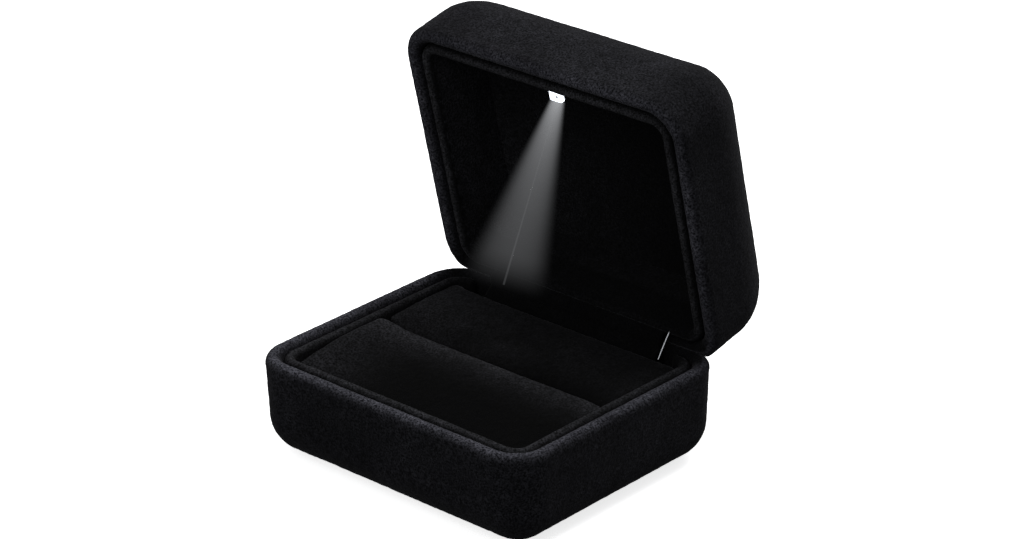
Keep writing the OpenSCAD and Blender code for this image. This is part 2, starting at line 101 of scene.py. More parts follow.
base_low, base_high = (np.array(corner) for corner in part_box("base_cover"))
lid_low, lid_high = shut_box("lid_cover")
half_x, half_y = base_high[0], -base_low[1]
base_bottom, base_top = base_low[2], base_high[2]
lid_bottom, lid_top = lid_low[2], lid_high[2]
print("half width and depth, mm", half_x / MM, half_y / MM, "rims", base_top / MM, lid_bottom / MM)

# %% [markdown]
# ## Surfaces from numbers
# Every covered form here is a rounded rectangle that changes as it climbs. So one function gives the
# walk round the rectangle, another puts a stack of such walks into a mesh, and a third checks which
# way the faces point by the sign of the volume that they enclose.

# %% Grids into meshes
CORNERS = [(1, 1), (-1, 1), (-1, -1), (1, -1)]


def plan_walk(long_steps, short_steps, corner_steps):
    """Once round a rounded rectangle, anticlockwise. Gives, for each step, the sign of its corner's centre
    in x and y, which slides from one corner to the next along a side, and the angle the edge faces."""
    sign_x, sign_y, facing = [], [], []
    for k, (sx, sy) in enumerate(CORNERS):
        nx, ny = CORNERS[(k + 1) % 4]
        steps = long_steps if k % 2 == 0 else short_steps
        along = np.linspace(0, 1, steps, endpoint=False)
        turn = np.linspace(0, 90, corner_steps, endpoint=False)
        sign_x += [np.full(corner_steps, sx), sx + (nx - sx) * along]
        sign_y += [np.full(corner_steps, sy), sy + (ny - sy) * along]
        facing += [90 * k + turn, np.full(steps, 90 * (k + 1))]
    return np.concatenate(sign_x), np.concatenate(sign_y), np.radians(np.concatenate(facing))


def stack(walk, inset, radius, height, half=None, middle_y=0.0):
    """Rings of a rounded rectangle, one row per inset: each point is its corner's centre plus the corner
    radius in the direction the edge faces, with the corner's centre inset + radius inside the side."""
    side_x, side_y = half or (half_x, half_y)
    sign_x, sign_y, facing = walk
    inset, radius, height = (np.asarray(a, float)[:, None] for a in (inset, radius, height))
    x = sign_x * np.maximum(side_x - inset - radius, 0) + radius * np.cos(facing)
    y = sign_y * np.maximum(side_y - inset - radius, 0) + radius * np.sin(facing) + middle_y
    return np.stack([x, y, np.broadcast_to(height, x.shape)], -1)


def quads(rows, cols, wrap_rows, wrap_cols):
    """Corner numbers of the cells of a grid that may close on itself either way."""
    r, c = np.meshgrid(
        np.arange(rows if wrap_rows else rows - 1), np.arange(cols if wrap_cols else cols - 1), indexing="ij")
    r1, c1 = (r + 1) % rows, (c + 1) % cols
    return np.stack([r * cols + c, r * cols + c1, r1 * cols + c1, r1 * cols + c], -1).reshape(-1, 4)


def enclosed(points, faces):
    """Signed volume: a sixth of the triple product of each triangle, summed."""
    a, b, c, d = (points[faces[:, i]] for i in range(4))
    return (np.einsum("ij,ij->i", a, np.cross(b, c)) + np.einsum("ij,ij->i", a, np.cross(c, d))).sum() / 6


def new_piece(name, points, faces):
    """A mesh object at the origin from points and four-cornered faces, turned outwards, with doubles
    merged."""
    if enclosed(points - points.mean(0), faces) < 0:
        faces = faces[:, ::-1]
    mesh = bpy.data.meshes.new(name)
    mesh.vertices.add(len(points))
    mesh.vertices.foreach_set("co", points.astype(np.float32).ravel())
    mesh.loops.add(faces.size)
    mesh.loops.foreach_set("vertex_index", faces.astype(np.int32).ravel())
    mesh.polygons.add(len(faces))
    mesh.polygons.foreach_set("loop_start", np.arange(0, faces.size, 4, dtype=np.int32))
    mesh.update(calc_edges=True)
    form = bmesh.new()
    form.from_mesh(mesh)
    bmesh.ops.remove_doubles(form, verts=form.verts, dist=1e-6)
    bmesh.ops.dissolve_degenerate(form, edges=form.edges, dist=1e-7)
    form.to_mesh(mesh)
    form.free()
    mesh.shade_smooth()
    piece = bpy.data.objects.new(name, mesh)
    bpy.context.scene.collection.objects.link(piece)
    return piece


def grid_piece(name, grid, wrap_rows=False, wrap_cols=True):
    """A mesh object from a grid of points."""
    rows, cols = grid.shape[:2]
    return new_piece(name, grid.reshape(-1, 3), quads(rows, cols, wrap_rows, wrap_cols))


def piece_points(piece):
    """A piece's points as an array."""
    flat = np.zeros(len(piece.data.vertices) * 3, np.float32)
    piece.data.vertices.foreach_get("co", flat)
    return flat.reshape(-1, 3).astype(float)


def set_points(piece, points):
    """Puts an array of points back into a piece."""
    piece.data.vertices.foreach_set("co", points.astype(np.float32).ravel())
    piece.data.update()


def describe(piece):
    """Prints a piece's size and how many points it has."""
    points = piece_points(piece)
    print(f"{piece.name}: {len(points)} points, {np.round((points.max(0) - points.min(0)) / MM, 1)} mm")
    return piece


long_steps, short_steps, corner_steps = 104, 82, 26
walk = plan_walk(long_steps, short_steps, corner_steps)
print("steps round the box", len(walk[0]))

# %% [markdown]
# ## The nap of velvet
# Flocked velvet is never a clean surface: its fibres stand about half a millimetre tall and lean in small tufts,
# so the outline of the box is slightly fuzzy. Hair would show it, but it leaves the model when it is exported. A
# smooth random field, built on a lattice as clouds often are, moves the points of the dense mesh in and out, so
# that the tufts are real shape.

# %% Random tufts
HASH_FACTORS = np.array([374761393, 668265263, 2147483647])
LOW_BITS = 0xFFFFFFFF
TUFT_APART = 0.6 * MM
WAVE_APART = 7 * MM


def lattice_noise(points, cell, seed):
    """Smooth noise from -1 to 1: a random value at each corner of cubes of side cell, from an integer
    hash of the corner's three numbers, eased between corners with 3t^2 - 2t^3."""
    scaled = points / cell
    corner = np.floor(scaled).astype(np.int64)
    t = scaled - corner
    ease = t * t * (3 - 2 * t)
    total = np.zeros(len(points))
    for k in range(8):
        step = np.array([k & 1, k >> 1 & 1, k >> 2 & 1])
        at = corner + step
        mixed = ((at * HASH_FACTORS).sum(1) + seed * 144665) & LOW_BITS
        mixed = ((mixed ^ (mixed >> 13)) * 1274126177) & LOW_BITS
        value = ((mixed ^ (mixed >> 16)) & 0xFFFF) / 32767.5 - 1
        total += value * np.prod(np.where(step == 1, ease, 1 - ease), axis=1)
    return total


def nap(piece, tuft=0.045 * MM, seed=1):
    """Moves each point along its normal by fine tufts and by slow waves of the cloth."""
    points = piece_points(piece)
    normals = np.zeros(points.size, np.float32)
    piece.data.vertex_normals.foreach_get("vector", normals)
    out = tuft * lattice_noise(points, TUFT_APART, seed) + tuft * lattice_noise(points, WAVE_APART, seed + 50)
    set_points(piece, points + normals.reshape(-1, 3) * out[:, None])
    return piece


# %% [markdown]
# ## Velvet over the base
# The outer velvet is one piece of cloth: it comes from under the box, round the soft bottom edge, up
# the leaning wall, over the rim in a plump roll and down inside, where it is glued. A profile with
# these four stretches is carried round the box. A second layer half a millimetre further in gives the
# cloth its thickness, so the piece is a closed solid. At the back the rim is cut on a slope, which is
# what lets the lid lean back. The gap between the two slopes is below zero: the open lid presses the
# two cloths into each other a little, so that nothing behind the box shows between them.

# %% Base cover
corner_r = 7 * MM
base_edge_r = 6.5 * MM
base_draft = 0.7 * MM
rim_r = 1.35 * MM
turn_in = 3.5 * MM
cloth_t = 0.5 * MM
swing_gap = -0.15 * MM
bevel = open_angle / 2
sole_inset = base_edge_r + base_draft + 0.2 * MM
knuckle_clearance = 1.1 * MM
pressed_inset = 2.3 * MM
pressed_depth = 1.2 * MM
pressed_height = 6 * MM
puckers = 44
pucker_depth = 0.16 * MM
pucker_reach = 1.2 * MM


def draft_at(height):
    """How far the leaning wall lies inside its rim: none at the rim, base_draft at the bottom."""
    return base_draft * (base_top - height) / (base_top - base_bottom)


def base_profile(layer, detail):
    """Inset and height from under the box to inside the rim, for a layer that far inside the outer face:
    a quarter circle, a straight wall, a half circle over the rim and a straight run down."""
    turn = np.radians(np.linspace(0, 90, int(14 * detail) + 2))
    edge = base_edge_r - layer
    low = base_bottom + layer + edge * (1 - np.cos(turn))
    rim = rim_r - layer
    centre = base_top - rim_r
    wall = np.linspace(low[-1], centre, int(24 * detail) + 2)[1:-1]
    over = np.radians(np.linspace(0, 180, int(14 * detail) + 3))
    down = np.linspace(centre, base_top - turn_in, int(6 * detail) + 2)[1:]
    inset = np.concatenate([
        [sole_inset], edge * (1 - np.sin(turn)) + layer + draft_at(low), layer + draft_at(wall),
        layer + rim * (1 - np.cos(over)), np.full(len(down), layer + 2 * rim)])
    height = np.concatenate([[low[0]], low, wall, centre + rim * np.sin(over), down])
    return inset, height


def soft_min(a, b, blend):
    """The lower of two heights, with the crease between them rounded over the blend."""
    return (a + b - np.sqrt((a - b) ** 2 + blend**2)) / 2


def bevel_height(y, side):
    """The sloping cut of a back rim, through a line half the swing gap off the hinge line: side -1 is the
    base's."""
    return hinge_z + side * (swing_gap / 2 / math.cos(bevel) + math.tan(bevel) * (y - hinge_y))


def clear_of_hinge(points):
    """Makes room for the hinge in a back rim: points nearer the pin than the knuckles' clearance move out
    to it, and near the hinge the cloth behind the leaves is pressed flat to the wall."""
    half_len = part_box("hinge_pin")[1].x + 0.1 * MM
    pressed_y = half_y - pressed_inset
    near = (np.abs(points[..., 0]) < half_len) & (np.abs(points[..., 2] - hinge_z) < pressed_height)
    inner = near & (points[..., 1] > pressed_y - pressed_depth) & (points[..., 1] < pressed_y)
    y = np.where(inner, pressed_y, points[..., 1])
    dy, dz = y - hinge_y, points[..., 2] - hinge_z
    away = np.maximum(np.hypot(dy, dz), 1e-9)
    push = np.where(near & (away < knuckle_clearance), knuckle_clearance / away, 1)
    return np.stack([points[..., 0], hinge_y + dy * push, hinge_z + dz * push], -1)


def gathered(points, inset, near_rim):
    """Small puckers where the cloth turns in at the corners: waves round each corner that grow from the
    crest of the rim inwards."""
    facing = walk[2][None, :]
    wave = np.cos(puckers * facing) * np.sin(2 * facing) ** 2
    depth = np.clip((inset[:, None] - rim_r) / pucker_reach, 0, 1) * near_rim[:, None]
    outward = np.stack([np.cos(facing), np.sin(facing), np.zeros_like(facing)], -1)
    return points + (pucker_depth * wave * depth)[..., None] * outward


def covered(profile, radius_of, side, rim_height):
    """The two layers of a cover as one grid of rings, with its back rim cut on the slope."""
    layers = []
    for layer, detail in ((0, 1), (cloth_t, 0.5)):
        inset, height = profile(layer, detail)
        rings = stack(walk, inset, radius_of(inset, height), height)
        if layer == 0:
            rings = gathered(rings, inset, np.abs(height - rim_height) < turn_in + MM)
        limit = bevel_height(rings[..., 1], side) + side * 1.3 * layer
        z = -side * soft_min(-side * rings[..., 2], -side * limit, 0.25 * MM)
        rings = clear_of_hinge(np.concatenate([rings[..., :2], z[..., None]], -1))
        layers.append(rings if layer == 0 else rings[::-1])
    return np.concatenate(layers)


def base_radius(inset, height):
    """The corners tighten by as much as a ring lies inside the box, and never quite to a point."""
    return np.maximum(corner_r - inset, 0.5 * MM)


base_grid = covered(base_profile, base_radius, -1, base_top)
base_skin = nap(describe(grid_piece("base_velvet", base_grid, wrap_rows=True)), seed=3)

# %% [markdown]
# ## Velvet over the lid
# The lid is covered the same way, but its top edge is a much wider curve that runs into a flat top.
# The rings shrink until they close to a short line in the middle of the top, where their doubles are
# merged, so no hole is left.

# %% Lid cover
lid_edge_r = 12 * MM


def lid_profile(layer, detail):
    """Inset and height from the middle of the top to inside the rim: a flat, a wide quarter circle, a
    straight wall, a half circle round the rim and a straight run up inside."""
    edge = lid_edge_r - layer
    flat = np.linspace(half_y, lid_edge_r, int(22 * detail) + 2)[:-1]
    turn = np.radians(np.linspace(0, 90, int(38 * detail) + 2))
    low = lid_top - layer - edge * (1 - np.cos(turn))
    rim = rim_r - layer
    centre = lid_bottom + rim_r
    wall = np.linspace(low[-1], centre, int(16 * detail) + 2)[1:-1]
    over = np.radians(np.linspace(0, 180, int(14 * detail) + 3))
    up = np.linspace(centre, lid_bottom + turn_in, int(6 * detail) + 2)[1:]
    inset = np.concatenate([
        flat, layer + edge * (1 - np.sin(turn)), np.full(len(wall), layer),
        layer + rim * (1 - np.cos(over)), np.full(len(up), layer + 2 * rim)])
    height = np.concatenate([
        np.full(len(flat), lid_top - layer), low, wall, centre - rim * np.sin(over), up])
    return inset, height


def lid_radius(inset, height):
    """The corners tighten as the top edge curves in, close to a point at the middle of the top, and at the
    rim follow the inset as the base's do."""
    curving = corner_r * (1 - 0.65 * np.minimum(inset / lid_edge_r, 1))
    closing = np.clip((half_y - inset) / (half_y - lid_edge_r), 0, 1)
    return np.where(height < lid_bottom + turn_in + MM, corner_r - inset, curving * closing)


lid_grid = turned(covered(lid_profile, lid_radius, 1, lid_bottom), -open_angle)
lid_skin = nap(describe(grid_piece("lid_velvet", lid_grid)), seed=7)

# %% [markdown]
# ## Collars
# Inside each rim stands a collar: a strip of card wrapped in velvet, which guides the lid as it shuts
# and frames the lining. Its top is a soft half round. The base's collar is a U whose arms turn the rear
# corners and stop there, because the hinge needs the room at the back, and the lid's runs all the way
# round. The ends of the U are closed with a few outlines that narrow to nothing. At its front right
# corner the base's collar is worn down a little.

# %% Collar outlines
collar_out = 3.2 * MM
collar_in = 5.0 * MM
collar_r = (collar_in - collar_out) / 2
collar_mid = (collar_in + collar_out) / 2


def collar_outline(crest, foot):
    """Inset and height once round a collar's section: up the outer face, over the half round and down."""
    side = np.sign(crest - foot)
    centre = crest - side * collar_r
    rise = np.linspace(foot, centre, 16)[:-1]
    over = np.radians(np.linspace(0, 180, 15))
    inset = np.concatenate([
        np.full(15, collar_out), collar_mid - collar_r * np.cos(over), np.full(15, collar_in)])
    height = np.concatenate([rise, centre + side * collar_r * np.sin(over), rise[::-1]])
    return inset, height


def collar_radius(inset):
    """The corner's radius at an inset, 2 mm or more so that the velvet turns easily."""
    return np.maximum(corner_r - inset, 2 * MM)


lid_collar_rim = shut_box("lid_collar_cover")[0][2]
lid_face = shut_box("lid_liner")[0][2]
inset, height = collar_outline(lid_collar_rim, lid_face + 0.6 * MM)
lid_collar_grid = turned(stack(walk, inset, collar_radius(inset), height), -open_angle)
lid_collar = nap(describe(grid_piece("lid_collar_velvet", lid_collar_grid, wrap_rows=True)), seed=11)

base_collar_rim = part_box("base_collar_cover")[1].z
inset, height = collar_outline(base_collar_rim, 4.5 * MM)
arms = tuple(np.concatenate([a[corner_steps + long_steps:], a[:corner_steps + 1]]) for a in walk)
base_collar_grid = stack(arms, inset, collar_radius(inset), height)
worn_depth, worn_reach = 0.2 * MM, 11 * MM
from_corner = (base_collar_grid[..., 0] - half_x) ** 2 + (base_collar_grid[..., 1] + half_y) ** 2
base_collar_grid[..., 2] -= worn_depth * np.exp(-from_corner / worn_reach**2)


def narrowed_end(ring, angle):
    """A collar's outline at an angle round its rounded end: cos(angle) as wide, sin(angle) further on."""
    middle = half_y - collar_mid
    x = ring[:, 0] - np.sign(ring[:, 0]) * collar_r * math.sin(angle)
    y = middle + (ring[:, 1] - middle) * math.cos(angle)
    return np.stack([x, y, ring[:, 2]], -1)[:, None]


cap_angles = [math.radians(a) for a in (20, 40, 60, 75, 90)]
first = [narrowed_end(base_collar_grid[:, 0], a) for a in reversed(cap_angles)]
last = [narrowed_end(base_collar_grid[:, -1], a) for a in cap_angles]
base_collar_grid = np.concatenate(first + [base_collar_grid] + last, axis=1)
base_collar_grid[..., 1] = np.minimum(base_collar_grid[..., 1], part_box("base_collar_cover")[1].y)
base_collar = nap(
    describe(grid_piece("base_collar_velvet", base_collar_grid, wrap_rows=True, wrap_cols=False)), seed=13)

# %% [markdown]
# ## Lining of the lid
# The back of the lid's hollow is a board wrapped in the same velvet. It is flat, but the cloth stands
# a little proud in the middle and dips where it is tucked behind the collar.

# %% Lid lining
liner_back = shut_box("lid_liner")[1][2]
tucked = collar_in - 0.4 * MM
inset = np.concatenate([np.linspace(half_y, tucked, 50), np.linspace(tucked, half_y, 12)])
height = lid_face + 0.25 * MM * np.exp(-(inset - tucked) / (1.2 * MM))
height[50:] = liner_back
radius = np.maximum(corner_r - inset, 2 * MM) * np.clip((half_y - inset) / (4 * MM), 0, 1)
lining_grid = turned(stack(walk, inset, radius, height), -open_angle)
lining = nap(describe(grid_piece("lid_lining_velvet", lining_grid)), tuft=0.06 * MM, seed=17)

# %% [markdown]
# ## Ring pads
# Two foam pads wrapped in velvet fill the base, and the ring stands in the slot between them. Foam
# pushes its cloth outwards, so a pad is drawn a little too small as a closed form, meshed evenly by a
# voxel remesh, and blown up by Blender's cloth simulation with its foot held still. The swelling is
# capped, because the pad has to stay between the collars.

# %% Pads drawn small
pad_half_x = half_x - collar_in + 0.2 * MM
pad_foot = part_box("front_pad_cover")[0].z
shrunk = 0.35 * MM
pad_corner_r = 0.9 * MM
front_fall = 3.6 * MM
rear_rise = 2.2 * MM
rear_rise_over = 9 * MM


def pad_form(name, low_y, high_y, top_of, edge):
    """A closed pad: rings shrink over its top, follow a rounded edge of radius edge, drop down the sides
    and close under its foot. top_of gives the top's height at x and y."""
    half = (pad_half_x - shrunk, (high_y - low_y) / 2 - shrunk)
    turn = np.radians(np.linspace(90, 0, 8))
    over = np.linspace(half[1], edge, 12)[:-1]
    inset = np.concatenate([over, edge * (1 - np.cos(turn)), np.zeros(8), np.linspace(0, half[1], 12)])
    drop = np.concatenate([np.zeros(11), edge * (1 - np.sin(turn)), np.full(20, edge)])
    down = np.concatenate([np.zeros(19), np.linspace(0.1, 1, 8), np.ones(12)])
    radius = np.clip(half[1] - inset, 0, pad_corner_r)
    grid = stack(plan_walk(50, 22, 6), inset, radius, drop, half, (low_y + high_y) / 2)
    top = top_of(grid[..., 0], grid[..., 1]) - shrunk - grid[..., 2]
    grid[..., 2] = top * (1 - down[:, None]) + (pad_foot + shrunk) * down[:, None]
    return grid_piece(name, grid)


front_low, front_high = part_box("front_pad_cover")
rear_low, rear_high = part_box("rear_pad_cover")


def front_top(x, y):
    """The front pad's top: highest at the slot, falling to the front with the power 1.7 of the distance,
    lifted against the left collar and pulled down at the right one."""
    share = np.clip((front_high.y - y) / (front_high.y - front_low.y), 0, 1)
    lifted = (0.6 + 2.3 * share) * MM * np.exp(-((x + pad_half_x) / (5 * MM)) ** 2)
    pulled = 0.3 * MM * np.exp(-((x - pad_half_x) / (2.5 * MM)) ** 2)
    return front_high.z - front_fall * share**1.7 + lifted - pulled


def rear_top(x, y):
    """The rear pad's top: it rises from the slot as a parabola and is flat behind that, and it is lifted
    against the left collar."""
    share = np.clip((y - rear_low.y) / rear_rise_over, 0, 1)
    lifted = (0.2 + 1.8 * (1 - share) ** 2) * MM * np.exp(-((x + pad_half_x) / (4 * MM)) ** 2)
    return rear_high.z - rear_rise * (1 - share) ** 2 + lifted


front_pad = pad_form("front_ring_pad", front_low.y, front_high.y, front_top, 0.8 * MM)
rear_pad = pad_form("rear_ring_pad", rear_low.y, rear_high.y, rear_top, 0.6 * MM)


# %% Pads blown up
def swell(piece, voxel, cap, foot):
    """Remeshes a closed piece evenly, lets cloth under pressure push it out for 20 frames with everything
    below foot held, and moves each point that way by no more than cap."""
    remesh = piece.modifiers.new("even", "REMESH")
    remesh.mode = "VOXEL"
    remesh.voxel_size = voxel
    bpy.context.view_layer.objects.active = piece
    bpy.ops.object.modifier_apply(modifier=remesh.name)
    start = piece_points(piece)
    held = piece.vertex_groups.new(name="held")
    low = np.nonzero(start[:, 2] < foot)[0]
    held.add(low.tolist(), 1.0, "REPLACE")
    cloth = piece.modifiers.new("cloth", "CLOTH")
    cloth.settings.quality = 5
    cloth.settings.vertex_group_mass = "held"
    cloth.settings.use_pressure = True
    cloth.settings.uniform_pressure_force = 4
    cloth.settings.effector_weights.gravity = 0
    cloth.collision_settings.use_collision = False
    scene = bpy.context.scene
    for frame_number in range(1, 21):
        scene.frame_set(frame_number)
    depsgraph = bpy.context.evaluated_depsgraph_get()
    blown = piece.evaluated_get(depsgraph).data
    flat = np.zeros(len(blown.vertices) * 3, np.float32)
    blown.vertices.foreach_get("co", flat)
    piece.modifiers.remove(cloth)
    piece.vertex_groups.clear()
    move = flat.reshape(-1, 3).astype(float) - start
    size = np.maximum(np.linalg.norm(move, axis=1, keepdims=True), 1e-12)
    print(f"{piece.name}: pressure moved it up to {size.max() / MM:.2f} mm, kept to {cap / MM:.2f}")
    set_points(piece, start + move * np.minimum(1, cap / size))
    scene.frame_set(1)
    finer = piece.modifiers.new("finer", "SUBSURF")
    finer.levels = finer.render_levels = 1
    bpy.ops.object.modifier_apply(modifier=finer.name)
    piece.data.shade_smooth()
    return piece


for pad, seed in ((front_pad, 19), (rear_pad, 23)):
    swell(pad, voxel=0.6 * MM, cap=0.45 * MM, foot=pad_foot + 4 * MM)
    nap(describe(pad), seed=seed)

# %% [markdown]
# ## Strip over the hinge
# A strip of velvet hides the hinge. It is glued down behind the rear pad, bows over the knuckles and
# is tucked under the rim of the lid's collar.

# %% Hinge strip
strip_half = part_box("hinge_flap")[1].x
strip_t = 0.3 * MM
flap_r = 1.2 * MM
base_angle, lid_angle = 215, 103
rear_edge_y = rear_high.y


def strip_path(offset):
    """The strip's line in y and z at an offset from its inner face: up behind the pad, an arc about the
    hinge line, then along the lid's wall, which lies back by the open angle."""
    turn = np.radians(np.linspace(base_angle, lid_angle, 22))
    arc_r = flap_r + offset
    arc = np.stack([hinge_y + arc_r * np.cos(turn), hinge_z + arc_r * np.sin(turn)], -1)
    foot = np.array([rear_edge_y + 0.35 * MM - offset * 0.5, hinge_z - 8 * MM])
    bend = np.array([rear_edge_y + 0.5 * MM - offset * 0.6, hinge_z - 2.6 * MM])
    t = np.linspace(0, 1, 12)[:-1, None]
    up = foot + (bend - foot) * t
    over = bend + (arc[0] - bend) * np.linspace(0, 1, 8)[:-1, None]
    along = np.array([math.sin(open_angle), math.cos(open_angle)])
    tuck = arc[-1] + along * np.linspace(0, 2.2 * MM, 7)[1:, None]
    return np.concatenate([up, over, arc, tuck])


inner, outer = strip_path(0), strip_path(strip_t)
loop = np.concatenate([inner, outer[::-1]])
middle = np.concatenate([(inner + outer) / 2, (inner + outer)[::-1] / 2])
across = np.linspace(-strip_half, strip_half, 90)
flat_end = np.ones(len(across))
flat_end[[0, -1]] = 0
section = middle[:, None] + (loop - middle)[:, None] * flat_end[None, :, None]
strip_grid = np.stack(
    [np.broadcast_to(across, section.shape[:2]), section[..., 0], section[..., 1]], -1)
hinge_strip = nap(
    describe(grid_piece("hinge_strip_velvet", strip_grid, wrap_rows=True, wrap_cols=False)),
    tuft=0.03 * MM, seed=29)

# %% [markdown]
# ## Switch wire
# The light's switch is a length of bright spring wire: with the lid up it rests on its contact, and as
# the lid shuts the base pushes it off. It is drawn as a tube carried along a gentle curve, with its
# ends closed by rings that shrink to a point.

# %% Switch wire
def tube(name, path, radius, sides=16):
    """A round tube: at each point of the path, a circle across the path's direction, with both ends closed in to a
    half ball."""
    along = np.gradient(path, axis=0)
    along /= np.linalg.norm(along, axis=1, keepdims=True)
    across = np.cross(along, [1.0, 0, 0])
    across /= np.linalg.norm(across, axis=1, keepdims=True)
    other = np.cross(along, across)
    turn = np.linspace(0, 2 * math.pi, sides, endpoint=False)[:, None]
    cap = np.radians([90, 60, 30])
    centre = np.concatenate([
        path[0] - radius * np.sin(cap)[:, None] * along[0], path,
        path[-1] + radius * np.sin(cap[::-1])[:, None] * along[-1]])
    width = np.concatenate([np.cos(cap), np.ones(len(path)), np.cos(cap[::-1])]) * radius
    pad = ((3, 3), (0, 0))
    u, v = np.pad(across, pad, mode="edge"), np.pad(other, pad, mode="edge")
    grid = centre[:, None] + width[:, None, None] * (
        np.cos(turn)[None] * u[:, None] + np.sin(turn)[None] * v[:, None])
    return grid_piece(name, grid)


wire_low, wire_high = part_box("switch_wire")
wire_x = (wire_low.x + wire_high.x) / 2
wire_r = 0.13 * MM
wire_foot = np.array([wire_x, rear_edge_y + 0.35 * MM, base_top - 1.6 * MM])
card_y = half_y - collar_mid
wire_rim = turned(np.array([[wire_x, card_y, lid_collar_rim - 0.1 * MM]]), -open_angle)[0]
wire_deep = turned(np.array([[wire_x, card_y, lid_face - 0.5 * MM]]), -open_angle)[0]
t = np.linspace(0, 1, 24)[:, None]
rising = wire_foot * (1 - t) + wire_rim * t
rising[:, 1] -= 0.08 * MM * np.sin(math.pi * t[:, 0])
inside = wire_rim + (wire_deep - wire_rim) * np.linspace(0, 1, 20)[1:, None]
wire_path = np.concatenate([rising, inside])
switch_wire = describe(tube("switch_spring_wire", wire_path, wire_r))

# %% [markdown]
# ## The light
# A small rectangular diode in a clear lens pokes out of the lid's collar. Its sides are a superellipse,
# which is a rectangle with soft corners, and its end is slightly domed. Behind the end sits the chip,
# a speck that shows dark against the glow.

# %% Light lens
lens_low, lens_high = shut_box("led_lens")
lens_middle = (lens_low + lens_high) / 2 - np.array([0.5 * MM, 0, 0.9 * MM])
lens_half = (lens_high - lens_low) / 2 * np.array([0.88, 1, 0.3])


def lens_ring(scale, depth, power=10):
    """One ring round the lens at a depth along it: |x|^power + |z|^power = 1, scaled."""
    turn = np.linspace(0, 2 * math.pi, 64, endpoint=False)
    c, s = np.cos(turn), np.sin(turn)
    reach = (np.abs(c) ** power + np.abs(s) ** power) ** (-1 / power)
    return np.stack([
        lens_middle[0] + scale * lens_half[0] * reach * c, np.full(64, depth),
        lens_middle[2] + scale * lens_half[2] * reach * s], -1)


dome = np.radians(np.linspace(0, 90, 9))
scales = np.concatenate([[0.0, 0.5, 1.0], [1.0], 1 - 0.05 * np.sin(dome), [0.5, 0.0]])
depths = np.concatenate([
    [lens_low[1] - 0.02 * MM, lens_low[1] - 0.01 * MM, lens_low[1]], [lens_middle[1]],
    lens_high[1] - 0.2 * MM * (1 - np.sin(dome)), [lens_high[1] + 0.01 * MM, lens_high[1] + 0.02 * MM]])
lens_grid = turned(np.stack([lens_ring(a, b) for a, b in zip(scales, depths)]), -open_angle)
lens = describe(grid_piece("led_lens_glowing", lens_grid))

# %% [markdown]
# ## Finishes
# Every finish starts from the real material. Colours are given as sRGB hex values, because that is how they are
# picked, and one function turns them into the linear values that the shaders use. A pattern's scale is one over
# its real size in metres, because the pieces are in metres.

# %% Colours and nodes
def linear(code):
    """A hex colour as linear red, green, blue and alpha: c / 12.92 below 0.04045, a power of 2.4 above."""
    c = np.array([int(code[i:i + 2], 16) for i in (1, 3, 5)]) / 255
    return (*np.where(c <= 0.04045, c / 12.92, ((c + 0.055) / 1.055) ** 2.4), 1.0)


def add(tree, kind, links=None, **values):
    """Adds a node, sets its properties and sockets by name, and joins other nodes' sockets to its own."""
    node = tree.nodes.new("ShaderNode" + kind)
    for name, value in values.items():
        if hasattr(node, name):
            setattr(node, name, value)
        else:
            node.inputs[name.replace("_", " ")].default_value = value
    for name, socket in (links or {}).items():
        tree.links.new(socket, node.inputs[name])
    return node


def finish(name, **uniform):
    """A new material with a Principled shader whose own sockets hold what is the same all over."""
    material = bpy.data.materials.new(name)
    material.use_nodes = True
    shader = material.node_tree.nodes["Principled BSDF"]
    for socket, value in uniform.items():
        shader.inputs[socket.replace("_", " ")].default_value = value
    return material, material.node_tree, shader
